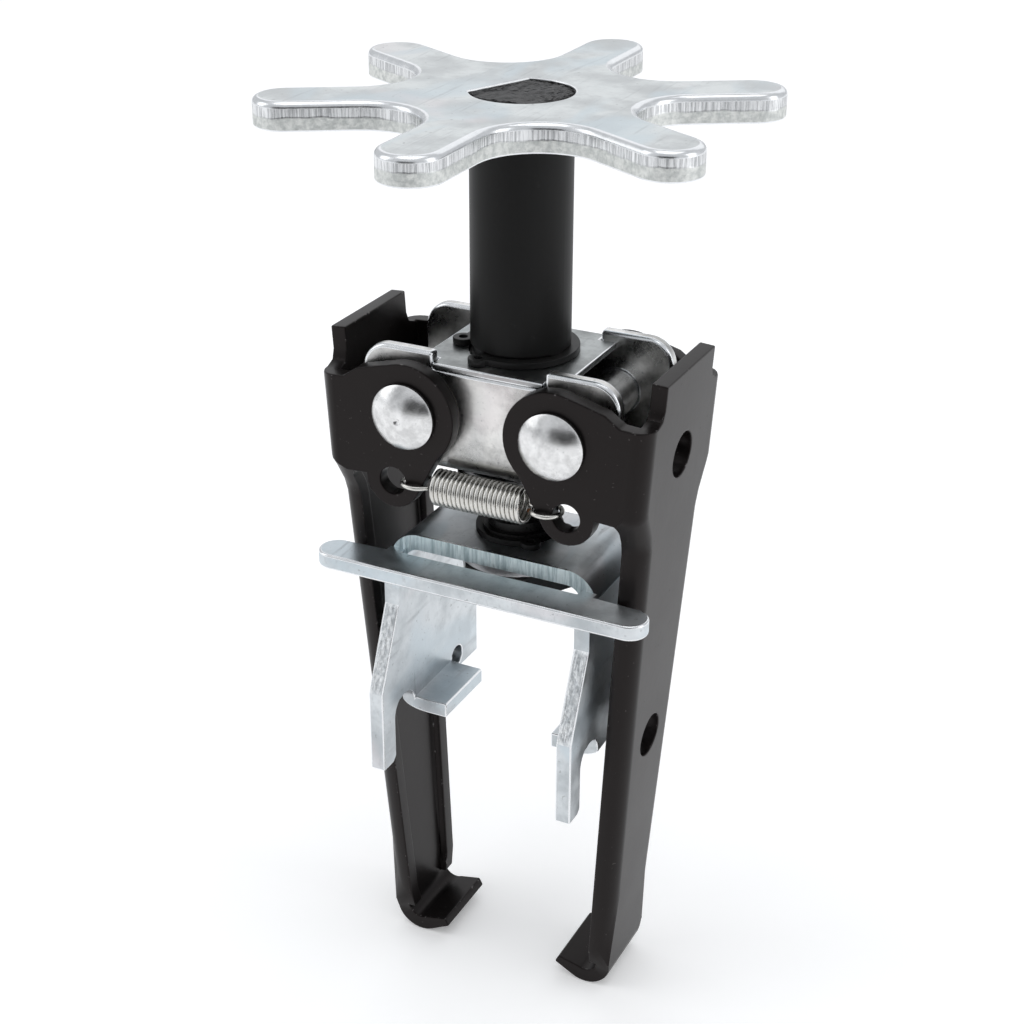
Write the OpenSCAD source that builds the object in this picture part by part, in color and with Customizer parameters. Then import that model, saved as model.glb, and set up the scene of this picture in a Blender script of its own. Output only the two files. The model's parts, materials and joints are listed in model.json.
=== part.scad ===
// Two-arm valve spring compressor.
// A star knob turns a tube that is threaded inside. The tube drives a screw, and the press
// plate on it, down between two sprung arms with hooked ends.
// +X runs from the left arm to the right arm, -Y is the front and +Z is up.
// The origin is on the screw's axis, level with the undersides of the hooks.

/* [Star knob] */
// Radius over the tips of the knob's lobes
knob_r = 45; // [44:0.5:48]
// Thickness of the knob's plate
knob_t = 5; // [4:0.5:6]
// Half width of each lobe, and the radius of its tip
lobe_r = 5.6; // [5:0.1:6.5]
// Distance from the axis to the bottom of each valley
valley_r = 21.6; // [20:0.2:24]
// Height of the knob's top face
tool_h = 176; // [172:1:182]

/* [Drive tube and screw] */
// Outer radius of the drive tube
tube_r = 9; // [8.8:0.1:9]
// Radius over the crests of the screw's thread
screw_r = 7; // [6.5:0.1:7]
// Radial play of the screw in the tube, and of the tube in the body
run_fit = 0.08; // [0.04:0.01:0.1]
// Radius of the tube's thrust flange
flange_r = 11.5; // [11:0.1:11.5]
// Thickness of the thrust flange
flange_t = 3; // [2.5:0.5:3.5]

/* [Body] */
// Half length of the body channel along X
body_x = 25; // [24:0.5:26]
// Distance from the middle to the outer face of each wall
body_y = 13; // [12.8:0.1:13]
// Thickness of the body's sheet
body_t = 2.5; // [2:0.1:2.8]
// Height of the body's underside
body_z = 108.7; // [108.5:0.1:109.5]
// Height of the top plate's upper face
top_plate_z = 129.9; // [129.5:0.1:131]
// Thickness of the top plate
top_plate_t = 1.2; // [1:0.1:2]

/* [Pivots] */
// Distance from the axis to each pivot
pivot_x = 14.4; // [14.2:0.1:15]
// Height of the pivots
pivot_z = 120.6; // [120:0.1:121]
// Radius of the rivets' shanks
shank_r = 4.25; // [4:0.05:4.3]
// Radius of the rivets' heads
head_r = 6.1; // [6:0.1:7]
// Height of the rivets' domed heads
head_h = 2.8; // [2:0.1:3]
// Thickness of the washers between the body and the arms
washer_t = 1; // [0.8:0.1:1.2]

/* [Arms] */
// Thickness of the arms' sheet
arm_t = 3; // [2.6:0.1:3]
// Distance from a pivot to the outer face of its arm's web
arm_x = 17.45; // [17.3:0.05:18]
// Inward lean of the arms from upright at rest, in degrees
arm_lean = 3.86; // [3.5:0.1:3.9]
// Depth of the arms' lower flanges, with the web
flange_depth = 4.4; // [4:0.1:4.4]
// Half width of an arm just under its ears
arm_top_y = 13.2; // [12.8:0.1:13.2]
// Half width of an arm just above its hook
arm_foot_y = 9.3; // [9:0.1:9.8]
// Half width of the hook's lip
lip_y = 7.9; // [7:0.1:8.5]
// Reach of the hook from the web's outer face
hook_reach = 11.8; // [11:0.1:12.5]
// Outer radius of the hook's bend
hook_r = 5.5; // [5:0.1:6]
// Radius of the two holes in each arm's web
web_hole_r = 4.2; // [3.5:0.1:4.5]

/* [Press plate] */
// Thickness of the press plate's sheet
plate_t = 3; // [2.8:0.1:3.2]
// Half width over the outer faces of the legs
leg_x = 21; // [20.5:0.1:21]
// Height of the front strip's upper face
strip_z = 91; // [90:0.5:91]
// Rise of the web above the strip
web_rise = 3.4; // [3:0.1:4]
// Half length of the front strip
strip_x = 33; // [32:0.5:35]
// Height of the feet's upper faces
foot_z = 57.5; // [56:0.5:58]
// Height of the tips of the front prongs
prong_z = 47.5; // [46:0.5:49]

/* [Springs] */
// Outer radius of the springs' coils
coil_r = 3.4; // [3:0.1:3.4]
// Half length of the springs' coils
coil_x = 8.8; // [8:0.1:8.8]
// Radius of the springs' wire
wire_r = 0.55; // [0.5:0.05:0.6]

/* [Hidden] */
$fn = 48;
eps = 0.01;         // overlap that joins two shapes
gap = 0.1;          // air between faces that turn on each other
far = 100;          // longer than any cut needs to be

// Knob and tube
flat_x = 5.8;                                   // distance from the axis to the spigot's flat
spigot_angle = 158;                             // direction of the flat
knob_turn = 31;                                 // turn of the first lobe from +X
circlip_t = 1.2;
groove_depth = 0.6;
bore_top = 160;                                 // end of the tube's blind bore
thrust_washer_t = 1;
tube_bottom = body_z - thrust_washer_t - 2 * gap - flange_t;

// Stack of washer, ear and rivet head along Y
washer_r = 8.6;
ear_in = body_y + washer_t + gap;
ear_out = ear_in + arm_t;
head_y = ear_out + gap;
ear_r = 9.6;                                    // radius of an arm's ear

// Arm, in its own frame: pivot at the origin, web upright, +X outwards
web_in = arm_x - arm_t;
tab_y = 11;                                     // half width of the thumb tab above the ears
tab_top = 13;
shoulder_z = 6.2;                               // where the ears end under the tab
step_top = -10;                                 // where the arm starts to narrow below the ears
step_bottom = -19;
window_z = -12;                                 // top of the cut-out between lobe and flange
window_r = 2.5;
lobe_at = [3.6, -13];
lobe_out_r = 5.2;
lobe_hole_r = 2.6;
hole_z = [-3.8, -63];                           // heights of the web's holes
lip_rise = 24;                                  // slope of the hook's lip
lip_tip_t = 1.8;                                // thickness of the lip at its tip
hook_x = arm_x - hook_r;                        // centre of the hook's bend
hook_z = (hook_r + hook_x * sin(arm_lean) - pivot_z) / cos(arm_lean);
foot_taper_z = hook_z + 4;

// Press plate
web_z = strip_z + web_rise;                     // upper face of the web
web_front = -11.8;
web_back = 10;
bend_r = 6;
strip_front = -20.4;
strip_back = -13.4;
leg_front = -14.5;
leg_back = 17;
prong_front = -21.6;
prong_back = -17;
slant_top = 80.4;
slant_bottom = 64.3;
foot_front = -9.2;
foot_back = 6;
foot_reach = 6.8;                               // how far a foot stands in from its leg
foot_t = plate_t;
notch_top = foot_z + 3;
relief_r = 2.2;
plate_in_x = leg_x - plate_t;

// Screw
screw_top = 141;
head_af = 21;                                   // width across the flats of the screw's head
head_t = 5;
screw_washer_t = 1.6;
screw_groove = 0.7;
screw_clip_t = 1.1;
web_under = web_z - plate_t;

// ---------- shared shapes ----------

// Disc or ring along Z from height z
module ring(r_out, r_in, t, z = 0) {
    translate([0, 0, z]) difference() {
        cylinder(r = r_out, h = t);
        translate([0, 0, -1]) cylinder(r = r_in, h = t + 2);
    }
}

// Cylinder along Y between two values of Y, centred at x and z
module rod_y(r, y0, y1, x = 0, z = 0) {
    translate([x, y1, z]) rotate([90, 0, 0]) cylinder(r = r, h = y1 - y0);
}

// Extrudes an outline drawn in X and Z along Y, between two values of Y
module slab_y(y0, y1) {
    translate([0, y1, 0]) rotate([90, 0, 0]) linear_extrude(y1 - y0) children();
}

// Extrudes an outline drawn in Y and Z along X, between two values of X
module slab_x(x0, x1) {
    translate([x0, 0, 0]) rotate([90, 0, 90]) linear_extrude(x1 - x0) children();
}

// Rectangle, centred on X = 0, whose two lower corners are round
module round_bottom(w, h, r) {
    translate([-w / 2, r]) square([w, h - r]);
    translate([-w / 2 + r, 0]) square([w - 2 * r, r + eps]);
    for (side = [-1, 1]) translate([side * (w / 2 - r), r]) circle(r = r);
}

// Points on an arc
function arc(centre, r, from, to, steps) =
    [for (i = [0:steps]) let (a = from + (to - from) * i / steps) centre + r * [cos(a), sin(a)]];

// ---------- star knob and drive tube ----------

// One sixth of the knob's edge: a lobe's round tip, then the round valley after it
function knob_sixth(turn) =
    let (valley_d = 2 * (valley_r - lobe_r),
         bend = valley_d - valley_r,
         tip = (knob_r - lobe_r) * [cos(turn), sin(turn)],
         valley = valley_d * [cos(turn + 30), sin(turn + 30)])
    concat(arc(tip, lobe_r, turn - 90, turn + 90, 14),
           arc(valley, bend, turn + 270, turn + 150, 12));

module spigot_outline(r) {
    intersection() {
        circle(r = r);
        rotate(spigot_angle) translate([flat_x - far, -far / 2]) square(far);
    }
}

module star_knob() {
    color([0.78, 0.81, 0.84]) translate([0, 0, tool_h - knob_t]) linear_extrude(knob_t) difference() {
        polygon([for (k = [0:5]) each knob_sixth(knob_turn + 60 * k)]);
        spigot_outline(tube_r);
    }
}

module drive_tube() {
    color([0.09, 0.09, 0.09]) difference() {
        union() {
            translate([0, 0, tube_bottom]) cylinder(r = flange_r, h = flange_t);
            translate([0, 0, tube_bottom]) cylinder(r = tube_r, h = tool_h - knob_t - tube_bottom);
            translate([0, 0, tool_h - knob_t - eps])
                linear_extrude(knob_t - 0.3) spigot_outline(tube_r);
        }
        translate([0, 0, tube_bottom - 1]) cylinder(r = screw_r + run_fit, h = bore_top - tube_bottom + 1);
        ring(tube_r + 1, tube_r - groove_depth, circlip_t, top_plate_z + gap);
    }
}

// External circlip of thickness t for a groove of radius r: a ring that is open at one side,
// with a drilled lug at each end
module circlip(r, width, t, facing) {
    lug_r = 1.9;
    lug_hole_r = 0.8;
    half_gap = 24;
    lug_d = r + width;
    rotate(facing) difference() {
        union() {
            difference() {
                cylinder(r = r + width, h = t);
                translate([0, 0, -1]) linear_extrude(t + 2)
                    polygon([[0, 0], far * [cos(half_gap), -sin(half_gap)],
                             far * [cos(half_gap), sin(half_gap)]]);
            }
            for (side = [-1, 1])
                rotate(side * (half_gap + 6)) translate([lug_d, 0, 0]) cylinder(r = lug_r, h = t);
        }
        translate([0, 0, -1]) cylinder(r = r, h = t + 2);
        for (side = [-1, 1])
            rotate(side * (half_gap + 6)) translate([lug_d, 0, -1]) cylinder(r = lug_hole_r, h = t + 2);
    }
}

module tube_circlip() {
    color([0.1, 0.1, 0.1]) translate([0, 0, top_plate_z + gap])
        circlip(tube_r - groove_depth, 2.2, circlip_t, 222);
}

module thrust_washer() {
    color([0.25, 0.25, 0.26])
        ring(flange_r - 0.4, tube_r + 0.15, thrust_washer_t, body_z - thrust_washer_t);
}

// ---------- body ----------

// Outline of a body wall: rounded ears at both ends, and a notch for the top plate's tab
module wall_outline() {
    ear_top = top_plate_z + 1.8;
    corner = 5;
    notch_x = 10.9;
    for (side = [-1, 1]) mirror([side < 0 ? 1 : 0, 0]) difference() {
        translate([0, body_z]) square([body_x, ear_top - body_z]);
        translate([-eps, top_plate_z - top_plate_t]) square([notch_x + eps, far]);
        difference() {
            translate([body_x - corner, ear_top - corner]) square(corner + eps);
            translate([body_x - corner, ear_top - corner]) circle(r = corner);
        }
    }
}

module body_channel() {
    color([0.74, 0.74, 0.73]) difference() {
        intersection() {
            slab_x(-body_x, body_x) translate([0, body_z]) difference() {
                round_bottom(2 * body_y, far, 4);
                translate([0, body_t]) round_bottom(2 * (body_y - body_t), far, 1.5);
            }
            slab_y(-far, far) wall_outline();
        }
        translate([0, 0, body_z - 1]) cylinder(r = tube_r + run_fit, h = body_t + 2);
        for (side = [-1, 1]) rod_y(shank_r, -far, far, side * pivot_x, pivot_z);
    }
}

module top_plate() {
    plate_x = 14.1;
    tab_x = 10.8;
    slack = 0.05;
    color([0.76, 0.79, 0.81]) translate([0, 0, top_plate_z - top_plate_t]) difference() {
        union() {
            translate([-plate_x, -body_y + body_t + slack, 0])
                cube([2 * plate_x, 2 * (body_y - body_t - slack), top_plate_t]);
            translate([-tab_x, -body_y - 0.3, 0]) cube([2 * tab_x, 2 * (body_y + 0.3), top_plate_t]);
        }
        translate([0, 0, -1]) cylinder(r = tube_r + run_fit, h = top_plate_t + 2);
    }
}

// Domed rivet head that rises along +Z from its flat face
module rivet_head(h) {
    rim = 0.8;
    dome = h - rim;
    ball_r = (head_r * head_r + dome * dome) / (2 * dome);
    cylinder(r = head_r, h = rim);
    intersection() {
        cylinder(r = head_r, h = h + 1);
        translate([0, 0, h - ball_r]) sphere(r = ball_r, $fn = 96);
    }
}

module rivet(side) {
    color([0.82, 0.83, 0.84]) translate([side * pivot_x, 0, pivot_z]) {
        rod_y(shank_r, -head_y - eps, head_y + eps);
        translate([0, -head_y, 0]) rotate([90, 0, 0]) rivet_head(head_h);
        translate([0, head_y, 0]) rotate([-90, 0, 0]) rivet_head(head_h - 0.5);
    }
}

module rivet_left() { rivet(-1); }
module rivet_right() { rivet(1); }

module pivot_washer(side, front) {
    y0 = front ? -body_y - washer_t : body_y;
    color([0.12, 0.12, 0.12]) difference() {
        rod_y(washer_r, y0, y0 + washer_t, side * pivot_x, pivot_z);
        rod_y(shank_r, -far, far, side * pivot_x, pivot_z);
    }
}

module washer_left_front() { pivot_washer(-1, true); }
module washer_left_back() { pivot_washer(-1, false); }
module washer_right_front() { pivot_washer(1, true); }
module washer_right_back() { pivot_washer(1, false); }

// ---------- arms ----------

// Outline of an ear with its spring lobe, seen from the front
module ear_outline() {
    circle(r = ear_r);
    hull() {
        circle(r = ear_r - 0.6, $fn = 32);
        translate(lobe_at) circle(r = lobe_out_r, $fn = 32);
    }
    polygon([[0, window_z], [0, ear_r], [4, 9], [9, 8], [12, shoulder_z], [arm_x, shoulder_z],
             [arm_x, step_top], [arm_x - flange_depth, window_z]]);
}

// Outline of the web with its lower flanges, seen from the front, less the cut-out's corner
module flange_outline() {
    flange_x = arm_x - flange_depth;
    difference() {
        translate([flange_x - window_r, hook_z])
            square([flange_depth + window_r, step_top - hook_z]);
        translate([flange_x - window_r, window_z - window_r]) circle(r = window_r);
        translate([flange_x - window_r - 1, hook_z - 1])
            square([window_r + 1, window_z - window_r - hook_z + 1]);
    }
}

// Outline of the web and the hook, seen from the front
module arm_web_outline() {
    lip_in = hook_r - arm_t;
    lip_len = (hook_x - arm_x + hook_reach) / cos(lip_rise) - hook_r * sin(lip_rise) / cos(lip_rise);
    polygon(concat(
        [[web_in, tab_top]],
        arc([hook_x, hook_z], lip_in, 0, -90 - lip_rise, 10),
        [[hook_x, hook_z] + (hook_r - lip_tip_t) * [-sin(lip_rise), -cos(lip_rise)]
            + lip_len * [-cos(lip_rise), sin(lip_rise)],
         [hook_x, hook_z] + hook_r * [-sin(lip_rise), -cos(lip_rise)]
            + lip_len * [-cos(lip_rise), sin(lip_rise)]],
        arc([hook_x, hook_z], hook_r, -90 - lip_rise, 0, 14),
        [[arm_x, tab_top]]));
}

// Half width of the arm all the way down, seen from the side, less a given wall
module arm_width_outline(wall) {
    half = [for (p = [[tab_y, tab_top], [tab_y, shoulder_z + 2.5], [tab_y + 0.7, shoulder_z + 0.7],
                      [tab_y + 2.5, shoulder_z], [ear_out, shoulder_z], [ear_out, step_top],
                      [ear_out - 0.7, step_top - 2], [arm_top_y + 0.7, step_bottom + 2.5],
                      [arm_top_y, step_bottom],
                      [arm_foot_y, foot_taper_z], [lip_y, foot_taper_z - 5], [lip_y, -far * 1.3]])
            [p[0] - wall, p[1]]];
    polygon(concat(half, [for (i = [len(half) - 1:-1:0]) [-half[i][0], half[i][1]]]));
}

// Web, lower flanges and hook, bent from one sheet
module arm_trough() {
    difference() {
        intersection() {
            slab_y(-far, far) union() {
                arm_web_outline();
                flange_outline();
            }
            slab_x(-far, far) arm_width_outline(0);
        }
        intersection() {
            slab_x(-far, web_in) arm_width_outline(arm_t);
            translate([-far, -far, hook_z]) cube([2 * far, 2 * far, shoulder_z + 1 - hook_z]);
        }
    }
}

// The right arm in its own frame
module arm_blank() {
    difference() {
        union() {
            arm_trough();
            slab_y(-ear_out, -ear_in) ear_outline();
            slab_y(ear_in, ear_out) ear_outline();
        }
        rod_y(shank_r + 0.05, -far, far);
        rod_y(lobe_hole_r, -far, far, lobe_at[0], lobe_at[1]);
        for (z = hole_z) translate([0, 0, z]) rotate([0, 90, 0]) cylinder(r = web_hole_r, h = far);
    }
}

module arm_right() {
    color([0.16, 0.15, 0.15]) translate([pivot_x, 0, pivot_z]) rotate([0, arm_lean, 0]) arm_blank();
}

module arm_left() {
    color([0.16, 0.15, 0.15]) mirror([1, 0, 0])
        translate([pivot_x, 0, pivot_z]) rotate([0, arm_lean, 0]) arm_blank();
}

// ---------- springs ----------

// Where the middle of the right lobe's hole is, in X and Z
lobe_x = pivot_x + lobe_at[0] * cos(arm_lean) + lobe_at[1] * sin(arm_lean);
lobe_z = pivot_z - lobe_at[0] * sin(arm_lean) + lobe_at[1] * cos(arm_lean);

// Closed coils, with a hooked end through a lobe's hole at each side
module spring(y) {
    loop_r = 3.0;
    loop_x = lobe_x - 4.4;
    rod_end = loop_x - loop_r;
    color([0.7, 0.7, 0.68]) translate([0, y, lobe_z]) {
        translate([-coil_x, 0, 0]) rotate([0, 90, 0]) cylinder(r = coil_r, h = 2 * coil_x);
        for (side = [-1, 1]) {
            translate([side * loop_x, 0, 0]) rotate_extrude()
                translate([loop_r, 0]) circle(r = wire_r, $fn = 16);
            translate([side * (coil_x + rod_end) / 2, 0, 0]) rotate([0, 90, 0])
                cylinder(r = wire_r, h = rod_end - coil_x + 2 * wire_r, center = true);
        }
    }
}

module spring_front() { spring(-ear_in - arm_t / 2); }
module spring_back() { spring(ear_in + arm_t / 2); }

// ---------- screw and press plate ----------

module lead_screw() {
    color([0.08, 0.08, 0.08]) difference() {
        union() {
            translate([0, 0, web_under - screw_washer_t - head_t])
                cylinder(r = head_af / sqrt(3), h = head_t, $fn = 6);
            translate([0, 0, web_under - screw_washer_t - eps])
                cylinder(r = screw_r, h = screw_top - web_under + screw_washer_t - 1);
            translate([0, 0, screw_top - 1 - eps]) cylinder(r1 = screw_r, r2 = screw_r - 1, h = 1 + eps);
        }
        ring(screw_r + 1, screw_r - screw_groove, screw_clip_t, web_z);
    }
}

module screw_circlip() {
    color([0.1, 0.1, 0.1]) translate([0, 0, web_z]) circlip(screw_r - screw_groove, 1.9, screw_clip_t, -20);
}

module screw_washer() {
    color([0.5, 0.5, 0.5]) ring(11.5, screw_r, screw_washer_t, web_under - screw_washer_t);
}

// Inverted U of the web and the tops of the legs, seen from the front
module plate_arch_outline() {
    bottom = strip_z - plate_t - 6;
    difference() {
        translate([0, web_z]) mirror([0, 1]) round_bottom(2 * leg_x, web_z - bottom, bend_r);
        translate([0, web_under]) mirror([0, 1])
            round_bottom(2 * plate_in_x, web_z - bottom, bend_r - plate_t);
    }
}

// Outline of a leg, seen from the side: sloping front edge, prong, notch and rear margin
module leg_outline() {
    notch_r = (foot_front - prong_back) / 2;
    difference() {
        polygon([[leg_front, strip_z - plate_t / 2], [leg_front, slant_top], [prong_front, slant_bottom],
                 [prong_front, prong_z], [prong_back - 1, prong_z], [prong_back, prong_z + 1],
                 [prong_back, notch_top - notch_r], [foot_front, notch_top - notch_r],
                 [foot_front, foot_z - foot_t], [leg_back, foot_z - foot_t], [leg_back, slant_top - 4],
                 [leg_back - 3, slant_top], [web_back, slant_top + 2], [web_back, strip_z - plate_t / 2]]);
        translate([prong_back + notch_r, notch_top - notch_r]) circle(r = notch_r);
        translate([foot_back + relief_r, foot_z]) circle(r = relief_r);
        translate([foot_back, foot_z - foot_t - 1]) square([1.2, foot_t + 1]);
    }
}

module press_plate() {
    strip_r = (strip_back - strip_front) / 2;
    strip_mid = (strip_back + strip_front) / 2;
    color([0.76, 0.8, 0.84]) difference() {
        union() {
            slab_y(web_front, web_back) plate_arch_outline();
            for (side = [-1, 1]) {
                slab_x(side > 0 ? plate_in_x : -leg_x, side > 0 ? leg_x : -plate_in_x) leg_outline();
                translate([side * (strip_x - strip_r), strip_mid, strip_z - plate_t])
                    cylinder(r = strip_r, h = plate_t);
                translate([side > 0 ? plate_in_x - foot_reach : -plate_in_x - eps, foot_front,
                           foot_z - foot_t])
                    cube([foot_reach + eps, foot_back - foot_front, foot_t]);
            }
            translate([-strip_x + strip_r, strip_front, strip_z - plate_t])
                cube([2 * (strip_x - strip_r), strip_back - strip_front, plate_t]);
            for (side = [-1, 1])
                translate([side > 0 ? plate_in_x : -leg_x, strip_back - eps, strip_z - plate_t])
                    cube([plate_t, web_front - strip_back + 2 * eps, plate_t]);
        }
        cylinder(r = screw_r, h = far);
    }
}

star_knob();
drive_tube();
tube_circlip();
thrust_washer();
body_channel();
top_plate();
rivet_left();
rivet_right();
washer_left_front();
washer_left_back();
washer_right_front();
washer_right_back();
arm_left();
arm_right();
spring_front();
spring_back();
lead_screw();
screw_circlip();
screw_washer();
press_plate();
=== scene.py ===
import json
import math

import bmesh
import bpy
from mathutils import Matrix, Vector
from mathutils.bvhtree import BVHTree

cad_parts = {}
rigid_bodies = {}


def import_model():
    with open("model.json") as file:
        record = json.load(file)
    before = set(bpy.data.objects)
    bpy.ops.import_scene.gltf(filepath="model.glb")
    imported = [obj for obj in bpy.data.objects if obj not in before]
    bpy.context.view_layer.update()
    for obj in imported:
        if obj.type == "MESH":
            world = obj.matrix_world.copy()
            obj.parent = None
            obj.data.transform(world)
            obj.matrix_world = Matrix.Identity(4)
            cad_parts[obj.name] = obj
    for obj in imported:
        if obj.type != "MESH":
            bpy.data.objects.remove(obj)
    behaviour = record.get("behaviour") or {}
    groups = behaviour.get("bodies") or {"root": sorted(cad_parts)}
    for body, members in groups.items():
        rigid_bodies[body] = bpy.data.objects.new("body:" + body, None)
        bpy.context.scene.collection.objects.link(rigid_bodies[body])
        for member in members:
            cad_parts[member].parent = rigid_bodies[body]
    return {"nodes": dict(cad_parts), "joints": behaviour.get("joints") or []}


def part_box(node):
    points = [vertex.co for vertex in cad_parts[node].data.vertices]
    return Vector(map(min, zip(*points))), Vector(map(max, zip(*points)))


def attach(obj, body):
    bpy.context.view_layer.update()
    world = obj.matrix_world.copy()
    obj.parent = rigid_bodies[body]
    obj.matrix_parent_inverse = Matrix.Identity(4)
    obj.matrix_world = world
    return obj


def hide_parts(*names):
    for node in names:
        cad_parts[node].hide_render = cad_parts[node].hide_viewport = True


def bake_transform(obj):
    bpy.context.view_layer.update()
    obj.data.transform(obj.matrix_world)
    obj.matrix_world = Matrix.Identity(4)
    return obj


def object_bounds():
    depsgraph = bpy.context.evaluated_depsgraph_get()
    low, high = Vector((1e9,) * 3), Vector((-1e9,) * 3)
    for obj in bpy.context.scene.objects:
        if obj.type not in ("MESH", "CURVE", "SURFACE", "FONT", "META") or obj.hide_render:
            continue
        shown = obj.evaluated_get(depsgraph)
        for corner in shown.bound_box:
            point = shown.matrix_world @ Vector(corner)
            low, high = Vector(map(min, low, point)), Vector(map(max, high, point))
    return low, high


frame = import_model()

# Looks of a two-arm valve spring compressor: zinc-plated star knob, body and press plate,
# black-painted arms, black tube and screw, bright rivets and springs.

MM = 0.001
cad_low, cad_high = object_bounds()

# ---------- places from the frame, and sizes that it does not give ----------

JOINTS = {joint["name"]: joint for joint in frame["joints"]}
PIVOT = Vector(JOINTS["arm_right_pivot"]["pos_m"])
ARM_LEAN = math.radians(3.86)
KNOB_LOW, KNOB_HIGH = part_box("star_knob")
TUBE_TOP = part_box("drive_tube")[1].z
SCREW_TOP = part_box("lead_screw")[1].z
PLATE_LOW, PLATE_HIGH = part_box("press_plate")

SHARP = math.radians(28)          # edges that turn by more than this are treated as corners
SMOOTH = math.radians(32)         # faces that turn by less than this are shaded as one
MERGE = 0.04 * MM                 # longest of the tiny edges that a CAD copy loses
CROWDING = 1.25                   # a crossing edge this many widths long leaves no room to round
BULGE = 0.45                      # furthest, in widths, that a rounded corner lies from the old one

# Arm, in its own frame: pivot at the origin, web upright, +X outwards
WEB_OUT = 17.45 * MM
SHEET = 3.0 * MM
WEB_IN = WEB_OUT - SHEET
SHOULDER = 6.2 * MM

# Rivet: where its heads seat along Y, the height of their upright rims, and its shank's radius
SEAT = 17.2 * MM
RIM = 0.8 * MM
SHANK = 4.25 * MM

# Spring and screw
WIRE = 0.55 * MM
COIL_OUT = 3.4 * MM
COIL_HALF = 8.8 * MM
LOBE = Vector((17.117, 0, 107.387)) * MM          # middle of the right lobe's hole
THREAD_OUT = 7.0 * MM
THREAD_ROOT = 5.9 * MM
THREAD_PITCH = 2.0 * MM


# ---------- modelling helpers ----------

def deselect():
    """Nothing is selected afterwards."""
    if bpy.context.object and bpy.context.object.mode != "OBJECT":
        bpy.ops.object.mode_set(mode="OBJECT")
    bpy.ops.object.select_all(action="DESELECT")


def take(piece):
    """Makes a piece the only one selected."""
    deselect()
    piece.select_set(True)
    bpy.context.view_layer.objects.active = piece
    return piece


def edit(piece, mode="EDGE"):
    """Opens a piece in edit mode with nothing selected."""
    take(piece)
    bpy.ops.object.mode_set(mode="EDIT")
    bpy.ops.mesh.select_mode(type=mode)
    bpy.ops.mesh.select_all(action="DESELECT")


def leave():
    bpy.ops.object.mode_set(mode="OBJECT")


def crowded(edge, room):
    """True where a short edge crosses this one's end, so that rounding it would fold over."""
    along = (edge.verts[1].co - edge.verts[0].co).normalized()
    for corner in edge.verts:
        for other in corner.link_edges:
            if other is edge or other.calc_length() > room:
                continue
            across = (other.verts[1].co - other.verts[0].co).normalized()
            if abs(across.dot(along)) < 0.8:
                return True
    return False


def pick_edges(piece, rule, room):
    """Selects the corner edges that meet a rule on their middle and direction."""
    mesh = bmesh.from_edit_mesh(piece.data)
    chosen = []
    for edge in mesh.edges:
        if len(edge.link_faces) != 2 or edge.calc_face_angle(0) < SHARP:
            continue
        middle = (edge.verts[0].co + edge.verts[1].co) / 2
        along = (edge.verts[1].co - edge.verts[0].co).normalized()
        if rule(middle, along) and not crowded(edge, room):
            chosen.append(edge)
    for edge in chosen:
        edge.select_set(True)
    bmesh.update_edit_mesh(piece.data)
    return len(chosen)


def pick_faces(piece, rule):
    """Selects the faces that meet a rule on their middle and normal."""
    mesh = bmesh.from_edit_mesh(piece.data)
    found = 0
    for face in mesh.faces:
        face.select_set(bool(rule(face.calc_center_median(), face.normal)))
        found += face.select
    bmesh.update_edit_mesh(piece.data)
    return found


def copy_node(node, name):
    """A merged copy of a CAD node, with its flat faces whole again."""
    piece = bpy.data.objects.new(name, frame["nodes"][node].data.copy())
    bpy.context.scene.collection.objects.link(piece)
    piece.data.materials.clear()
    edit(piece, "VERT")
    bpy.ops.mesh.select_all(action="SELECT")
    bpy.ops.mesh.customdata_custom_splitnormals_clear()
    bpy.ops.mesh.remove_doubles(threshold=MERGE)
    bpy.ops.mesh.dissolve_limited(angle_limit=math.radians(0.4))
    leave()
    return piece


def pull_back(piece, before, reach):
    """Brings back the points that a bevel threw clear of the old surface at a tight corner."""
    mesh = bmesh.from_edit_mesh(piece.data)
    for point in mesh.verts:
        place, _, _, away = before.find_nearest(point.co)
        if away > reach:
            point.co = place
    bmesh.update_edit_mesh(piece.data)
    bpy.ops.mesh.select_all(action="SELECT")
    bpy.ops.mesh.dissolve_degenerate(threshold=0.002 * MM)


def round_edges(piece, width, rule=lambda middle, along: True, segments=3, slot=-1, room=None):
    """Rounds the corner edges that meet a rule. The new faces take a material slot."""
    edit(piece)
    before = BVHTree.FromBMesh(bmesh.from_edit_mesh(piece.data))
    if pick_edges(piece, rule, CROWDING * width if room is None else room):
        bpy.ops.mesh.bevel(offset=width, segments=segments, profile=0.5,
                           clamp_overlap=False, material=slot)
        pull_back(piece, before, BULGE * width)
    leave()


def roughen(piece, rule, cuts, depth, seed):
    """Breaks up the inside of the faces that meet a rule, and leaves their edges where they are."""
    edit(piece, "FACE")
    if pick_faces(piece, rule):
        bpy.ops.mesh.subdivide(number_cuts=cuts)
        bpy.ops.mesh.select_mode(type="VERT")
        bpy.ops.mesh.select_less()
        bpy.ops.transform.vertex_random(offset=depth, uniform=0.0, normal=0.0, seed=seed)
    leave()


def smooth(piece, angle=SMOOTH):
    """Shades bends softly, and keeps large faces flat."""
    take(piece)
    bpy.ops.object.shade_smooth_by_angle(angle=angle)
    apply_modifier(piece, "WEIGHTED_NORMAL", keep_sharp=True)


def clean(piece):
    """Merges doubles and turns every face outwards."""
    edit(piece, "VERT")
    bpy.ops.mesh.select_all(action="SELECT")
    bpy.ops.mesh.remove_doubles(threshold=0.001 * MM)
    bpy.ops.mesh.normals_make_consistent(inside=False)
    leave()


def apply_modifier(piece, kind, **settings):
    take(piece)
    modifier = piece.modifiers.new(kind.lower(), kind)
    for key, value in settings.items():
        setattr(modifier, key, value)
    bpy.ops.object.modifier_apply(modifier=modifier.name)


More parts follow.
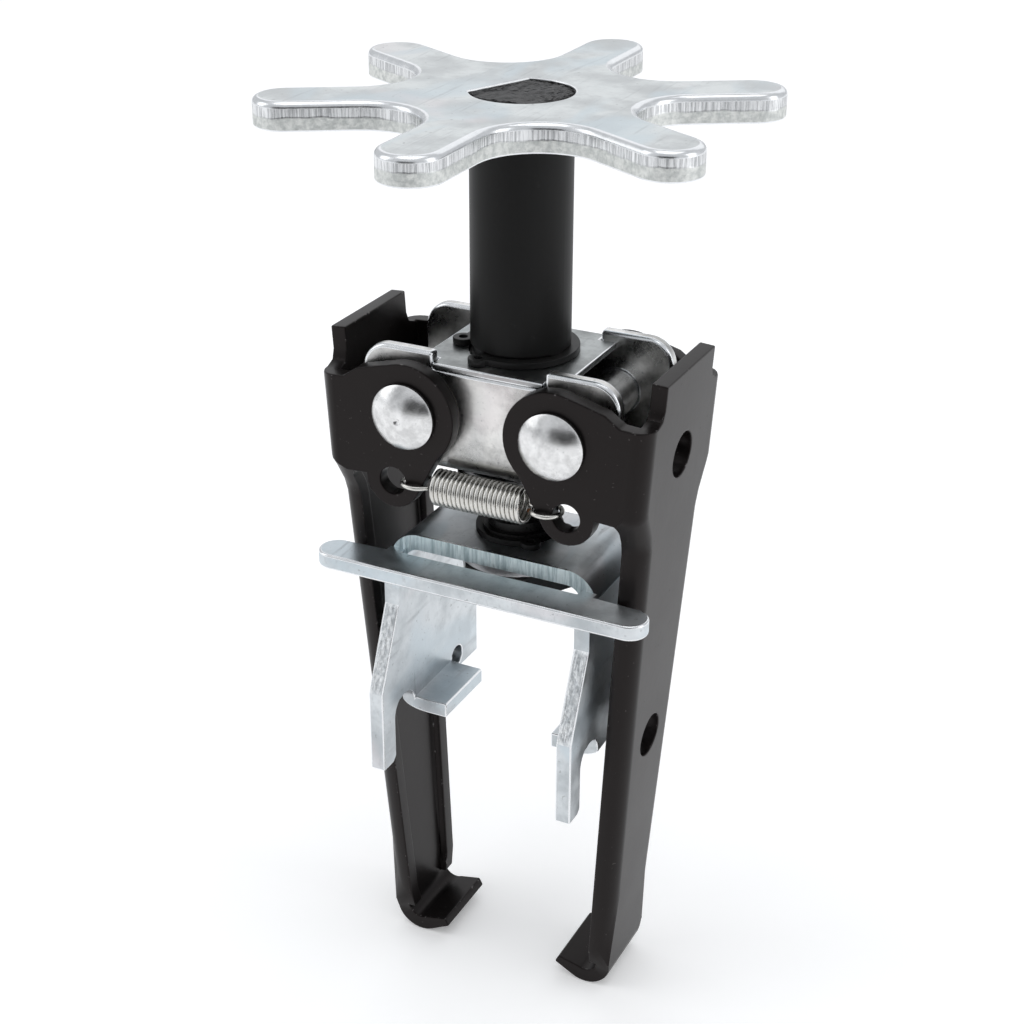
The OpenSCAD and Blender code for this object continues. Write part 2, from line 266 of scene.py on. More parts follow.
def settle(piece):
    """Puts the piece's place into its mesh."""
    take(piece)
    bpy.ops.object.transform_apply(location=True, rotation=True, scale=True)


def join(name, pieces):
    """Joins separate shells into one piece."""
    take(pieces[0])
    for piece in pieces[1:]:
        piece.select_set(True)
    bpy.ops.object.join()
    pieces[0].name = name
    return pieces[0]


def turned(name, profile, sides=72):
    """A solid of revolution on Z: (radius, height) points from its lower face to its upper one."""
    deselect()
    radius, height = profile[0]
    bpy.ops.mesh.primitive_circle_add(vertices=sides, radius=radius, fill_type="NGON",
                                      location=(0, 0, height))
    piece = bpy.context.object
    piece.name = name
    settle(piece)
    bpy.ops.object.mode_set(mode="EDIT")
    bpy.ops.mesh.select_mode(type="FACE")
    bpy.ops.mesh.select_all(action="SELECT")
    for next_radius, next_height in profile[1:]:
        rise = (0, 0, next_height - height)
        bpy.ops.mesh.extrude_region_move(TRANSFORM_OT_translate={"value": rise})
        share = next_radius / radius
        bpy.ops.transform.resize(value=(share, share, 1), center_override=(0, 0, next_height))
        radius, height = next_radius, next_height
    leave()
    clean(piece)
    return piece


def helix(name, centre, radius, axis, section, sides, pitch, turns, steps, squeeze=(1, 1, 1)):
    """A round or squeezed section wound about X or Z round a centre, with its ends closed."""
    deselect()
    bpy.ops.mesh.primitive_circle_add(vertices=sides, radius=section, location=centre,
                                      rotation=(math.pi / 2 if axis == "Z" else 0, 0, 0))
    piece = bpy.context.object
    piece.name = name
    bpy.ops.object.transform_apply(location=False, rotation=True, scale=False)
    bpy.ops.object.mode_set(mode="EDIT")
    bpy.ops.mesh.select_all(action="SELECT")
    bpy.ops.transform.resize(value=squeeze, center_override=centre)
    bpy.ops.transform.translate(value=(radius, 0, 0) if axis == "Z" else (0, radius, 0))
    leave()
    whole = max(1, round(abs(turns)))
    apply_modifier(piece, "SCREW", axis=axis, screw_offset=pitch * turns / whole,
                   iterations=whole, angle=2 * math.pi * turns / whole, steps=steps,
                   render_steps=steps)
    settle(piece)
    edit(piece, "VERT")
    bpy.ops.mesh.select_all(action="SELECT")
    bpy.ops.mesh.fill_holes(sides=sides + 1)
    leave()
    clean(piece)
    return piece


def wire(name, points, radius, sides=3):
    """A round wire along a smooth line through given points, as a closed mesh."""
    line = bpy.data.curves.new(name, "CURVE")
    line.dimensions = "3D"
    line.bevel_depth = radius
    line.bevel_resolution = sides
    line.use_fill_caps = True
    line.resolution_u = 6
    spline = line.splines.new("NURBS")
    spline.points.add(len(points) - 1)
    spline.order_u = 4
    spline.use_endpoint_u = True
    for point, place in zip(spline.points, points):
        point.co = (*place, 1)
    piece = bpy.data.objects.new(name, line)
    bpy.context.scene.collection.objects.link(piece)
    take(piece)
    bpy.ops.object.convert(target="MESH")
    clean(piece)
    return piece


# ---------- shader helpers ----------

class Value:
    """A shader socket that works in Python expressions."""

    def __init__(self, paint, socket):
        self.paint = paint
        self.socket = socket

    def math(self, operation, first, second):
        return self.paint.node("ShaderNodeMath", {"operation": operation}, {0: first, 1: second})

    def __add__(self, other):
        return self.math("ADD", self, other)

    def __radd__(self, other):
        return self.math("ADD", other, self)

    def __sub__(self, other):
        return self.math("SUBTRACT", self, other)

    def __rsub__(self, other):
        return self.math("SUBTRACT", other, self)

    def __mul__(self, other):
        return self.math("MULTIPLY", self, other)

    def __rmul__(self, other):
        return self.math("MULTIPLY", other, self)


class Paint:
    """A material that is built up from expressions on Object coordinates."""

    def __init__(self, name):
        self.material = bpy.data.materials.new(name)
        self.material.use_nodes = True
        self.tree = self.material.node_tree
        self.shader = self.tree.nodes["Principled BSDF"]
        self.place = self.node("ShaderNodeTexCoord", {}, {}, "Object")

    def node(self, kind, settings, inputs, output=0):
        """Adds a node, with its settings first, and gives one of its outputs."""
        made = self.tree.nodes.new(kind)
        for key, value in settings.items():
            setattr(made, key, value)
        for key, value in inputs.items():
            if isinstance(value, Value):
                self.tree.links.new(value.socket, made.inputs[key])
            else:
                made.inputs[key].default_value = value
        return Value(self, made.outputs[output])

    def stretched(self, scale):
        """Object coordinates, scaled along each axis."""
        return self.node("ShaderNodeVectorMath", {"operation": "MULTIPLY"},
                         {0: self.place, 1: scale})

    def noise(self, size, detail=3.0, rough=0.55, scale=(1, 1, 1), twist=0.0):
        """Noise from 0 to 1 whose blotches are about as big as size, in millimetres."""
        return self.node("ShaderNodeTexNoise", {},
                         {"Vector": self.stretched(scale), "Scale": 0.6 / (size * MM),
                          "Detail": detail, "Roughness": rough, "Distortion": twist})

    def cells(self, size, scale=(1, 1, 1)):
        """Distance to the nearest of many scattered points."""
        return self.node("ShaderNodeTexVoronoi", {},
                         {"Vector": self.stretched(scale), "Scale": 1 / (size * MM)}, "Distance")

    def axis(self, name):
        """One of the object coordinates, in metres."""
        return self.node("ShaderNodeSeparateXYZ", {}, {0: self.place}, name)

    def step(self, value, low, high):
        """0 below low and 1 above high, with a soft change between."""
        return self.node("ShaderNodeMapRange", {"interpolation_type": "SMOOTHSTEP", "clamp": True},
                         {"Value": value, "From Min": low, "From Max": high})

    def mix(self, mask, first, second):
        """A colour that goes from first to second as the mask goes from 0 to 1."""
        pair = [c if isinstance(c, Value) else (*c, 1.0) for c in (first, second)]
        return self.node("ShaderNodeMix", {"data_type": "RGBA"}, {0: mask, 6: pair[0], 7: pair[1]}, 2)

    def bump(self, height, strength, depth):
        """Surface relief; depth is in millimetres."""
        return self.node("ShaderNodeBump", {},
                         {"Strength": strength, "Distance": depth * MM, "Height": height}, "Normal")

    def finish(self, **sockets):
        """Feeds the shader and gives the material."""
        for key, value in sockets.items():
            socket = self.shader.inputs[key.replace("_", " ").title().replace("Ior", "IOR")]
            if isinstance(value, Value):
                self.tree.links.new(value.socket, socket)
            elif isinstance(value, tuple):
                socket.default_value = (*value, 1.0)
            else:
                socket.default_value = value
        return self.material


# ---------- finishes ----------

def zinc(name, dark, light, tint, sheen=0.30, tint_share=0.55):
    """Bright zinc plate: cloudy grey with faint blue and rose smears, pits and handling marks."""
    p = Paint(name)
    clouds = p.noise(7, detail=5, rough=0.62)
    smears = p.noise(11, detail=3, scale=(1, 0.45, 0.6), twist=0.6)
    rose = p.noise(16, detail=2, twist=0.8)
    pits = p.step(p.noise(0.55, detail=2), 0.66, 0.76)
    hairs = p.step(p.noise(0.5, detail=2, scale=(1, 0.06, 0.5)), 0.60, 0.72)
    grain = p.noise(0.22, detail=2)
    mottle = p.noise(1.7, detail=5, rough=0.68)
    colour = p.mix(p.step(clouds, 0.36, 0.64), dark, light)
    colour = p.mix(p.step(mottle, 0.52, 0.70) * 0.40, colour, dark)
    colour = p.mix(p.step(smears, 0.50, 0.64) * tint_share, colour, tint)
    colour = p.mix(p.step(rose, 0.56, 0.68) * 0.30, colour, (0.82, 0.74, 0.75))
    colour = p.mix(pits * 0.55, colour, (0.26, 0.27, 0.27))
    colour = p.mix(hairs * 0.22, colour, (0.45, 0.46, 0.47))
    roughness = sheen + p.step(clouds, 0.35, 0.7) * 0.14 + hairs * 0.10 + grain * 0.05
    height = grain * 0.5 + clouds * 0.8 + mottle * 0.5 - pits * 0.6 - hairs * 0.25
    return p.finish(base_color=colour, metallic=1.0, roughness=roughness,
                    normal=p.bump(height, 0.35, 0.07))


def torn(name, light=(0.88, 0.90, 0.91), dark=(0.60, 0.63, 0.65), coarse=0.9, depth=0.22,
         drag=(1, 1, 0.7)):
    """The rough, sparkling part of a sheared edge, under the same plating."""
    p = Paint(name)
    chips = p.cells(coarse, scale=drag)
    lumps = p.noise(coarse * 0.7, detail=4, rough=0.7, scale=drag)
    grain = p.noise(0.25, detail=3)
    colour = p.mix(p.step(lumps, 0.38, 0.62), dark, light)
    height = lumps + chips * 0.8 + grain * 0.3
    return p.finish(base_color=colour, metallic=1.0, roughness=0.30 + grain * 0.25,
                    normal=p.bump(height, 0.85, depth))


def sheared_band(name, low, high):
    """A blanked side: a burnished band with upright drag lines above a rough broken band."""
    p = Paint(name)
    wander = p.noise(4, detail=3) - 0.5
    up = p.axis("Z") + wander * (1.3 * MM)
    burnished = p.step(up, low + 0.42 * (high - low), low + 0.50 * (high - low))
    drag = p.noise(0.26, detail=4, rough=0.7, scale=(1, 1, 0.05))
    lumps = p.noise(0.7, detail=4, rough=0.7)
    bright = p.mix(p.step(drag, 0.35, 0.65), (0.40, 0.41, 0.42), (0.86, 0.87, 0.88))
    broken = p.mix(p.step(lumps, 0.3, 0.7), (0.52, 0.54, 0.53), (0.80, 0.81, 0.79))
    colour = p.mix(burnished, broken, bright)
    smooth_part = burnished * (0.20 + drag * 0.15)
    rough_part = (1 - burnished) * (0.45 + lumps * 0.2)
    height = burnished * (drag * 0.22) + (1 - burnished) * lumps
    return p.finish(base_color=colour, metallic=1.0, roughness=smooth_part + rough_part,
                    normal=p.bump(height, 0.6, 0.22))


def edge_highlight_wear(name):
    """Painted highlight on rounded plated edges: lighter than the faces, polished by handling, with
    handling wear in its brightness.
    """
    p = Paint(name)
    wear = p.noise(1.2, detail=4)
    # painted highlight: edge colour lighter than the plated faces; the noise varies it like handling wear
    colour = p.mix(wear, (0.66, 0.68, 0.70), (0.93, 0.94, 0.95))
    return p.finish(base_color=colour, metallic=1.0, roughness=0.16 + wear * 0.18,
                    normal=p.bump(wear, 0.25, 0.05))


def black_paint(name, worn=0.0):
    """Semi-gloss black paint with a fine orange peel, dust and, where worn, chipped specks."""
    p = Paint(name)
    peel = p.noise(0.9, detail=2)
    clouds = p.noise(14, detail=4)
    dust = p.step(p.noise(0.42, detail=1), 0.735, 0.80)
    chips = p.step(p.noise(0.8, detail=4, rough=0.7), 0.60, 0.68)
    colour = p.mix(clouds, (0.0045, 0.0038, 0.0037), (0.0085, 0.0070, 0.0068))
    colour = p.mix(dust * 0.30, colour, (0.14, 0.13, 0.125))
    colour = p.mix(chips * worn, colour, (0.26, 0.25, 0.25))
    roughness = 0.24 + clouds * 0.14 + dust * 0.2 + chips * (0.25 * worn)
    height = peel * 0.6 - chips * (0.8 * worn) + dust * 0.3
    return p.finish(base_color=colour, metallic=0.0, roughness=roughness, specular_ior_level=0.20,
                    specular_tint=(1.0, 0.90, 0.89), normal=p.bump(height, 0.30, 0.05))


def black_oxide(name, base=0.006, rough=0.36, lines=(1, 1, 0.04), shine=0.0):
    """Oiled black oxide with faint drawing lines."""
    p = Paint(name)
    drawn = p.noise(0.35, detail=3, scale=lines)
    clouds = p.noise(9, detail=4)
    rubbed = p.step(p.noise(1.6, detail=5, rough=0.7), 0.62, 0.78)
    colour = p.mix(clouds, (base * 0.7, base * 0.7, base * 0.72), (base * 1.5, base * 1.45, base * 1.4))
    colour = p.mix(rubbed * 0.18, colour, (0.05, 0.048, 0.046))
    return p.finish(base_color=colour, metallic=shine, roughness=rough + drawn * 0.10 + clouds * 0.08,
                    specular_ior_level=0.17, normal=p.bump(drawn, 0.25, 0.03))


def hammered_black(name):
    """The tube's end, peened over: lumpy, broken black scale."""
    p = Paint(name)
    lumps = p.noise(1.6, detail=5, rough=0.65)
    cracks = p.step(p.cells(1.5), 0.05, 0.35)
    colour = p.mix(p.step(lumps, 0.45, 0.75), (0.006, 0.006, 0.007), (0.045, 0.043, 0.042))
    return p.finish(base_color=colour, metallic=0.2, roughness=0.30 + lumps * 0.35,
                    normal=p.bump(lumps + cracks * 0.5, 0.9, 0.5))


def rivet_steel(name):
    """Struck rivet head: bright, with soft mottling and small pits."""
    p = Paint(name)
    mottle = p.noise(1.5, detail=5, rough=0.65)
    pits = p.step(p.noise(0.35, detail=2), 0.66, 0.76)
    colour = p.mix(p.step(mottle, 0.3, 0.7), (0.58, 0.58, 0.58), (0.86, 0.86, 0.86))
    colour = p.mix(pits * 0.5, colour, (0.36, 0.36, 0.36))
    return p.finish(base_color=colour, metallic=1.0, roughness=0.16 + mottle * 0.16,
                    normal=p.bump(mottle * 0.7 - pits * 0.5, 0.4, 0.06))


def drawn_wire(name, dark=(0.50, 0.49, 0.46), light=(0.80, 0.79, 0.76)):
    """Drawn spring wire, a little uneven in brightness."""
    p = Paint(name)
    wear = p.noise(0.8, detail=3)
    colour = p.mix(wear, dark, light)
    return p.finish(base_color=colour, metallic=1.0, roughness=0.18 + wear * 0.16,
                    normal=p.bump(wear, 0.2, 0.03))


def ground_steel(name):
    """Plain grey ground steel."""
    p = Paint(name)
    lines = p.noise(0.3, detail=3, scale=(1, 0.1, 1))
    colour = p.mix(lines, (0.30, 0.30, 0.31), (0.55, 0.55, 0.56))
    return p.finish(base_color=colour, metallic=1.0, roughness=0.32 + lines * 0.15,
                    normal=p.bump(lines, 0.3, 0.03))


ZINC_STAR = zinc("zinc_star", (0.52, 0.54, 0.545), (0.74, 0.765, 0.765), (0.58, 0.67, 0.72))
ZINC_BODY = zinc("zinc_body", (0.34, 0.34, 0.33), (0.84, 0.83, 0.81), (0.60, 0.61, 0.62),
                 sheen=0.22, tint_share=0.3)
ZINC_TOP = zinc("zinc_top", (0.22, 0.23, 0.23), (0.52, 0.54, 0.54), (0.36, 0.41, 0.44))
ZINC_PRESS = zinc("zinc_press", (0.44, 0.47, 0.49), (0.70, 0.73, 0.75), (0.56, 0.64, 0.69),
                  sheen=0.30, tint_share=0.6)
# painted highlight: a lighter colour for the light that rounded edges catch, with handling wear
EDGE = edge_highlight_wear("edge_highlight_wear")
STAR_SIDE = sheared_band("star_side", KNOB_LOW.z, KNOB_HIGH.z)
TORN = torn("torn_edge")
RIBBED = torn("ribbed_edge", light=(0.80, 0.90, 0.91), dark=(0.48, 0.58, 0.60), coarse=0.6,
              depth=0.22, drag=(1, 1, 0.08))
PAINT = black_paint("black_paint")
PAINT_EDGE = black_paint("black_paint_edge", worn=0.55)
TUBE_BLACK = black_oxide("tube_black")
CLIP_BLACK = black_oxide("clip_black", base=0.012, rough=0.24, lines=(1, 1, 1))
SCREW_BLACK = black_oxide("screw_black", base=0.035, rough=0.20, lines=(1, 1, 1), shine=0.7)
PEENED = hammered_black("peened_black")
RIVET = rivet_steel("rivet_steel")
WIRE_STEEL = drawn_wire("spring_wire")
COPPER = drawn_wire("copper_tip", dark=(0.55, 0.22, 0.10), light=(0.85, 0.42, 0.22))
PLAIN_STEEL = ground_steel("ground_steel")


def wear(piece, *materials):
    """Sets a piece's material slots."""
    piece.data.materials.clear()
    for material in materials:
        piece.data.materials.append(material)


def paint_faces(piece, slot, rule):
    """Gives the faces that meet a rule another of the piece's material slots."""
    for face in piece.data.polygons:
        if rule(face.center, face.normal):
            face.material_index = slot


def place_on(piece, body, slot, *nodes):
    """Attaches a finished piece to what it moves with and hides the nodes it stands for; the slot it is
    made of is not used.
    """
    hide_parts(*nodes)
    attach(piece, body)


# ---------- star knob and drive tube ----------

def star_knob():
    piece = copy_node("star_knob", "star_plate")
    wear(piece, ZINC_STAR, STAR_SIDE, EDGE)
    paint_faces(piece, 1, lambda middle, normal: abs(normal.z) < 0.5)
    rim = 11 * MM
    round_edges(piece, 1.1 * MM, lambda m, a: m.z > KNOB_HIGH.z - MM and m.xy.length > rim, 5, 2)
    round_edges(piece, 0.35 * MM, lambda m, a: m.z < KNOB_LOW.z + MM and m.xy.length > rim, 2, 2)
    round_edges(piece, 0.3 * MM, lambda m, a: m.xy.length < rim and abs(a.z) < 0.5, 2, 2)
    smooth(piece)
    place_on(piece, "drive", "zinc_plate", "star_knob")


def drive_tube():
    piece = copy_node("drive_tube", "drive_tube_black")
    wear(piece, TUBE_BLACK, PEENED)
    top = TUBE_TOP - 0.05 * MM
    bore_clear = 8.5 * MM
    round_edges(piece, 0.5 * MM, lambda m, a: m.z < KNOB_LOW.z - MM and m.xy.length > bore_clear, 3)
    edit(piece, "FACE")
    pick_faces(piece, lambda middle, normal: middle.z > top and normal.z > 0.9)
    bpy.ops.mesh.inset(thickness=0.25 * MM)
    bpy.ops.mesh.quads_convert_to_tris()
    for cuts in (2, 2, 1):
        bpy.ops.mesh.subdivide(number_cuts=cuts)
    bpy.ops.transform.vertex_random(offset=0.22 * MM, uniform=0.0, normal=0.0, seed=4)
    leave()
    paint_faces(piece, 1, lambda middle, normal: middle.z > KNOB_HIGH.z - 1.2 * MM)
    smooth(piece)
    place_on(piece, "drive", "black_tube", "drive_tube")


def plain_copy(node, name, body, slot, material, width, edge=None):
    """A CAD node with its edges broken."""
    piece = copy_node(node, name)
    wear(piece, material, edge or material)
    round_edges(piece, width, segments=2, slot=1)
    smooth(piece)
    place_on(piece, body, slot, node)
    return piece


# ---------- body ----------

def body_channel():
    piece = copy_node("body_channel", "body_sheet")
    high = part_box("body_channel")[1]
    ears = high.z - 5.5 * MM
    wear(piece, ZINC_BODY, EDGE)
    round_edges(piece, 0.7 * MM, lambda m, a: m.z > ears, 4, 1)
    round_edges(piece, 0.35 * MM, lambda m, a: m.z <= ears, 2, 1)
    smooth(piece)
    place_on(piece, "body", "zinc_sheet", "body_channel")


def rivet(side, name, node):
    """Shank between two struck heads. The front head is domed, the rear one lower."""
    low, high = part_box(node)
    radius = (high.x - low.x) / 2
    front = -low.y
    back = high.y
    arc = [math.cos(math.radians(9 * k)) for k in range(1, 10)]
    dome = front - SEAT - RIM
    head = [(radius - 0.3 * MM, SEAT), (radius, SEAT + 0.25 * MM), (radius, SEAT + RIM)]
    head += [(radius * max(c, 0.12), SEAT + RIM + dome * (1 - c * c) ** 0.9) for c in arc]
    if side < 0:
        dent = head[-1][1]
        head += [(radius * 0.10, dent - 0.05 * MM), (radius * 0.05, dent - 0.30 * MM),
                 (radius * 0.01, dent - 0.36 * MM)]
    else:
        head += [(radius * 0.04, head[-1][1] + 0.01 * MM)]
    low_dome = back - SEAT - RIM
    tail = [(radius - 0.3 * MM, -SEAT), (radius, -SEAT - 0.25 * MM), (radius, -SEAT - RIM)]
    tail += [(radius * max(c, 0.05), -SEAT - RIM - low_dome * (1 - c * c) ** 0.9) for c in arc]
    profile = tail[::-1] + [(SHANK, -SEAT), (SHANK, SEAT)] + head
    piece = turned(name, profile)
    take(piece)
    piece.rotation_euler = (math.pi / 2, 0, 0)
    piece.location = (side * PIVOT.x, 0, PIVOT.z)
    settle(piece)
    wear(piece, RIVET)
    smooth(piece, math.radians(40))
    place_on(piece, "body", "rivet_steel", node)


# ---------- arms ----------

def arm_place(side):
    """From the arm's own frame to the row frame."""
    lean = Matrix.Rotation(ARM_LEAN, 4, "Y")
    flip = Matrix.Scale(side, 4, (1, 0, 0))
    return flip @ Matrix.Translation(PIVOT) @ lean


def arm(side, name, node, body):
    piece = copy_node(node, name)
    wear(piece, PAINT, PAINT_EDGE)
    home = arm_place(side).inverted()

    def web_corner(middle, along):
        """The long outer corner between the web and the ears or flanges."""
        m = home @ middle
        upright = abs((home.to_3x3() @ along).z) > 0.6
        outer = m.x > WEB_OUT - 0.3 * MM and abs(m.y) > 7.5 * MM
        return upright and outer and m.z < SHOULDER - 0.5 * MM and m.z > -110 * MM

    def inner_corner(middle, along):
        m = home @ middle
        upright = abs((home.to_3x3() @ along).z) > 0.6
        return upright and abs(m.x - WEB_IN) < 0.3 * MM and m.z < SHOULDER - 0.5 * MM \
            and 6 * MM < abs(m.y) < 14.3 * MM and m.z > -110 * MM

    def clear(middle, along):
        """Away from where the ears narrow into the flanges."""
        m = home @ middle
        return not (m.x > 8 * MM and abs(m.y) > 12.4 * MM and -20 * MM < m.z < -9 * MM)

    round_edges(piece, 3.4 * MM, web_corner, 5, room=0)
    round_edges(piece, 0.9 * MM, inner_corner, 2)
    round_edges(piece, 0.32 * MM, clear, 2, 1)
    smooth(piece)
    place_on(piece, body, "black_paint", node)


# ---------- springs ----------

def spring_hook(side, y):
    """From the last coil to the spring's axis, then round the ear's edge through the lobe's hole."""
    ring_x = LOBE.x - 4.4 * MM
    ring = 3.0 * MM
    inner = COIL_OUT - WIRE
    back = 1 if y < 0 else -1
    points = [(COIL_HALF - 0.2 * MM, inner, 0), (COIL_HALF + 0.15 * MM, inner * 0.75, inner * 0.6),
              (COIL_HALF + 0.35 * MM, inner * 0.25, inner * 0.45),
              (COIL_HALF + 0.6 * MM, 0.15 * MM, 0.3 * MM)]
    for step in range(1, 12):
        turn = math.radians(180 - 30 * step) * back
        points.append((ring_x + ring * math.cos(turn), ring * math.sin(turn) * 0.92, 0))
    points = [(side * px, y + py, LOBE.z + pz) for px, py, pz in points]
    return wire("hook", points, WIRE * 0.82), Vector(points[-1])


def spring(node, name):
    """Close coils and hooked ends, in two halves that meet in the middle."""
    low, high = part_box(node)
    y = (low.y + high.y) / 2
    radius = COIL_OUT - WIRE * 0.8
    turns = 10
    for side, half in ((-1, "left"), (1, "right")):
        coil = helix("coil", (0, y, LOBE.z), radius, "X", WIRE * 0.78, 10,
                     COIL_HALF / turns, side * turns, 30)
        hook, tip = spring_hook(side, y)
        piece = join(f"{name}_{half}", [coil, hook])
        wear(piece, WIRE_STEEL, COPPER)
        if side > 0:
            paint_faces(piece, 1, lambda middle, normal: (middle - tip).length < 0.9 * MM)
        smooth(piece, math.radians(60))
        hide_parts(node)
        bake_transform(piece)


# ---------- screw ----------

def lead_screw():
    """Hexagon head and groove from the frame, then a core with a rolled thread round it."""
    top = SCREW_TOP
    thread_from = PLATE_HIGH.z + 1.6 * MM
    head = copy_node("lead_screw", "screw_head")
    edit(head, "VERT")
    bpy.ops.mesh.select_all(action="SELECT")
    bpy.ops.mesh.bisect(plane_co=(0, 0, thread_from), plane_no=(0, 0, 1), clear_outer=True,
                        use_fill=True)
    leave()
    round_edges(head, 0.4 * MM, lambda m, a: m.z < PLATE_LOW.z + 44 * MM, 2)
    core = turned("screw_core", [(THREAD_ROOT, thread_from - 0.4 * MM), (THREAD_ROOT, top - MM),
                                 (THREAD_ROOT - MM, top)], 48)
    rise = top - thread_from - 2.4 * MM
    ridge = THREAD_OUT - THREAD_ROOT - 0.03 * MM
    thread = helix("screw_thread", (0, 0, thread_from + 1.0 * MM), THREAD_ROOT, "Z", ridge, 4,
                   THREAD_PITCH, rise / THREAD_PITCH, 40, squeeze=(1, 1, 0.84))
    piece = join("lead_screw_threaded", [head, core, thread])
    wear(piece, SCREW_BLACK)
    smooth(piece, math.radians(35))
    place_on(piece, "press", "black_tube", "lead_screw")


# ---------- press plate ----------

def press_plate():
    """One sheet with a raised arch, a front strip, and legs whose feet are bent in."""
    piece = copy_node("press_plate", "press_sheet")
    wear(piece, ZINC_PRESS, EDGE, TORN, RIBBED)
    foot_top = PLATE_LOW.z + 10 * MM
    foot_under = PLATE_LOW.z + 7 * MM
    slant_foot = PLATE_LOW.z + 16.5 * MM
    slant_top = 82 * MM
    leg_out = 21 * MM
    leg_in = 18 * MM
    strip_under = 87 * MM
    near = 0.2 * MM

    def foot_bend(middle, along):
        return abs(abs(middle.x) - leg_out) < near and abs(middle.z - foot_under) < near \
            and abs(along.y) > 0.9 and -9.4 * MM < middle.y < 6.2 * MM

    def foot_crease(middle, along):
        return abs(abs(middle.x) - leg_in) < near and abs(middle.z - foot_top) < near \
            and abs(along.y) > 0.9

    def junction(middle):
        """Where the strip, the web and the legs run into each other."""
        return 15.2 * MM < abs(middle.x) < 21.3 * MM and -14.8 * MM < middle.y < -11 * MM

    round_edges(piece, 5.2 * MM, foot_bend, 7, room=0)
    round_edges(piece, 2.0 * MM, foot_crease, 5, room=0)
    paint_faces(piece, 2, lambda m, n: n.y < -0.4 and abs(n.z) > 0.1
                and slant_foot < m.z < slant_top)
    paint_faces(piece, 3, lambda m, n: n.y < -0.9 and m.z > 91 * MM and m.y > -12.5 * MM)
    round_edges(piece, 0.45 * MM, lambda m, a: m.z > strip_under and not junction(m), 3, 1)
    round_edges(piece, 0.28 * MM, lambda m, a: m.z <= strip_under and not junction(m), 2, 1)
    roughen(piece, lambda m, n: n.y < -0.4 and 0.1 < abs(n.z) < 0.9
            and slant_foot < m.z < slant_top and abs(m.x) > 18.5 * MM and abs(n.x) < 0.1, 14, 0.12 * MM, 7)
    smooth(piece)
    place_on(piece, "press", "zinc_plate", "press_plate")


# ---------- camera, lights and floor ----------

def camera():
    """Stands to the right of the front, looking down."""
    place = Vector((138.2, -282.2, 251.6)) * MM
    yaw, pitch, roll = 0.4601, -0.4561, 0.0028
    ahead = Vector((-math.sin(yaw) * math.cos(pitch), math.cos(yaw) * math.cos(pitch), math.sin(pitch)))
    right = Vector((math.cos(yaw), math.sin(yaw), 0))
    up = right.cross(ahead)
    tilt = Matrix.Rotation(-roll, 3, ahead)
    turn = Matrix((tilt @ right, tilt @ up, -(tilt @ ahead))).transposed()
    data = bpy.data.cameras.new("camera")
    data.sensor_width = 36
    data.lens = 66.3
    data.clip_start = 0.01
    view = bpy.data.objects.new("camera", data)
    view.matrix_world = Matrix.Translation(place) @ turn.to_4x4()
    bpy.context.scene.collection.objects.link(view)
    bpy.context.scene.camera = view


def softbox(name, place, aim, size, power):
    data = bpy.data.lights.new(name, "AREA")
    data.shape = "RECTANGLE"
    data.size, data.size_y = size
    data.energy = power
    light = bpy.data.objects.new(name, data)
    light.location = place
    light.rotation_euler = (Vector(aim) - Vector(place)).to_track_quat("-Z", "Y").to_euler()
    light.visible_camera = False
    bpy.context.scene.collection.objects.link(light)


def flag():
    """A dark card in front of the tool, which the camera doesn't see, for contrast in the metal."""
    deselect()
    bpy.ops.mesh.primitive_plane_add(size=1, location=(0.25, -1.15, 0.22),
                                     rotation=(math.pi / 2, 0, math.radians(12)))
    card = bpy.context.object
    card.name = "dark_card"
    card.scale = (1.25, 0.75, 1)
    settle(card)
    card.visible_camera = False
    card.visible_shadow = False
    p = Paint("dark_card")
    wear(card, p.finish(base_color=(0.02, 0.02, 0.02), roughness=0.9))


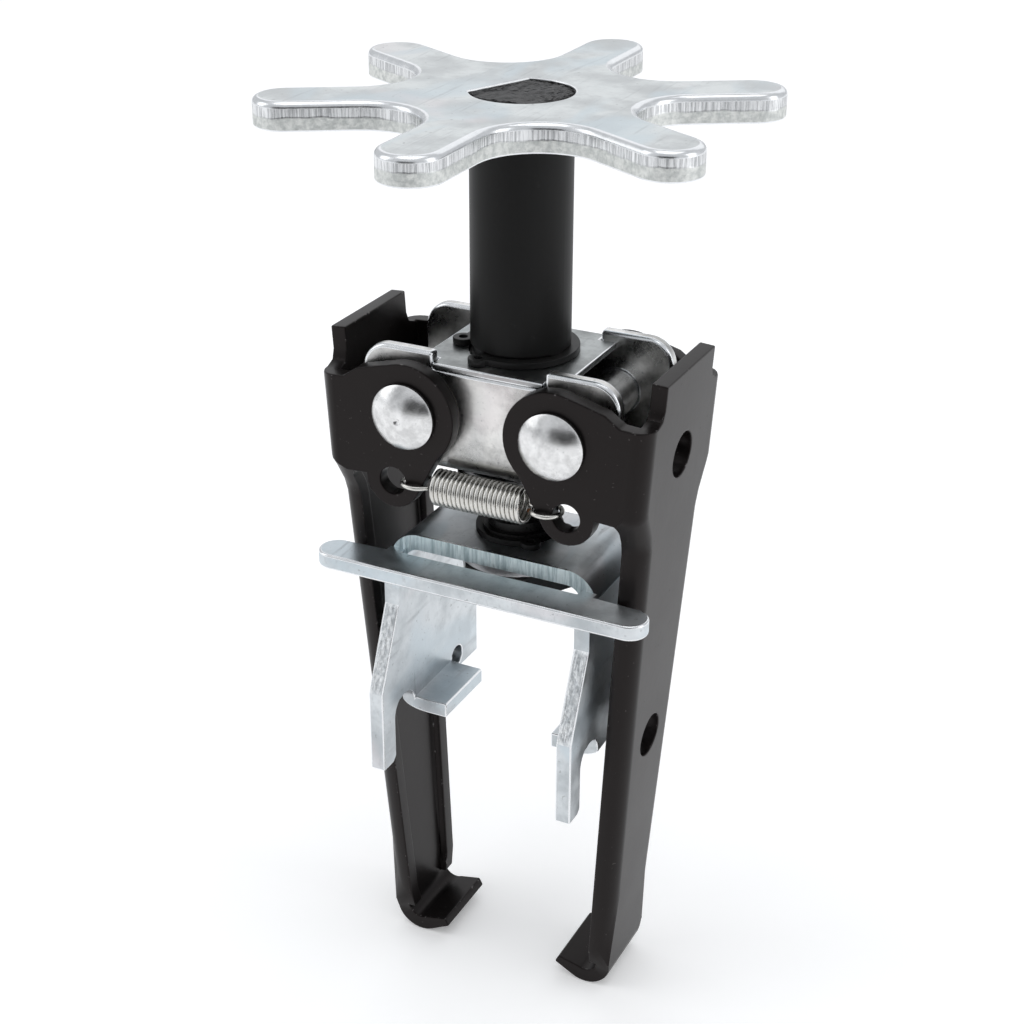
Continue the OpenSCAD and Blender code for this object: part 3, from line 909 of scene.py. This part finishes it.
def studio():
    middle = (0, 0, 0.1)
    softbox("back_softbox", (-0.3, 1.3, 0.95), middle, (1.8, 1.0), 2.6)
    softbox("left_softbox", (-1.1, -0.5, 0.7), middle, (0.7, 1.0), 2.2)
    softbox("right_softbox", (1.2, 0.1, 0.5), middle, (0.6, 1.1), 2.4)
    softbox("top_softbox", (0, -0.1, 1.3), middle, (0.9, 0.9), 3.0)
    world = bpy.data.worlds.new("studio")
    world.use_nodes = True
    sky = world.node_tree.nodes["Background"]
    sky.inputs["Color"].default_value = (0.95, 0.97, 1.0, 1)
    sky.inputs["Strength"].default_value = 0.66
    bpy.context.scene.world = world
    bpy.context.scene.view_settings.view_transform = "Standard"


def floor():
    deselect()
    bpy.ops.mesh.primitive_plane_add(size=12, location=(0, 0, cad_low[2] - 0.05 * MM))
    piece = bpy.context.object
    piece.name = "floor"
    p = Paint("pale_floor")
    tone = p.noise(300, detail=2)
    wear(piece, p.finish(base_color=p.mix(tone, (0.93, 0.93, 0.93), (0.95, 0.95, 0.95)), roughness=0.8,
                         emission_color=(1.0, 1.0, 1.0), emission_strength=0.24))


star_knob()
drive_tube()
plain_copy("tube_circlip", "tube_clip", "drive", "black_clip", CLIP_BLACK, 0.15 * MM)
body_channel()
plain_copy("top_plate", "top_plate_zinc", "body", "zinc_sheet", ZINC_TOP, 0.3 * MM, EDGE)
plain_copy("thrust_washer", "thrust_ring", "body", "plain_steel", PLAIN_STEEL, 0.15 * MM)
rivet(-1, "rivet_left_struck", "rivet_left")
rivet(1, "rivet_right_struck", "rivet_right")
for spot in ("left_front", "left_back", "right_front", "right_back"):
    plain_copy(f"washer_{spot}", f"pivot_ring_{spot}", "body", "black_clip", CLIP_BLACK, 0.12 * MM)
arm(-1, "arm_left_pressed", "arm_left", "arm_left")
arm(1, "arm_right_pressed", "arm_right", "arm_right")
press_plate()
lead_screw()
spring("spring_front", "spring_front_wound")
spring("spring_back", "spring_back_wound")
plain_copy("screw_circlip", "screw_clip", "press", "black_clip", CLIP_BLACK, 0.12 * MM)
plain_copy("screw_washer", "screw_ring", "press", "plain_steel", PLAIN_STEEL, 0.15 * MM)

camera()
studio()
flag()
floor()
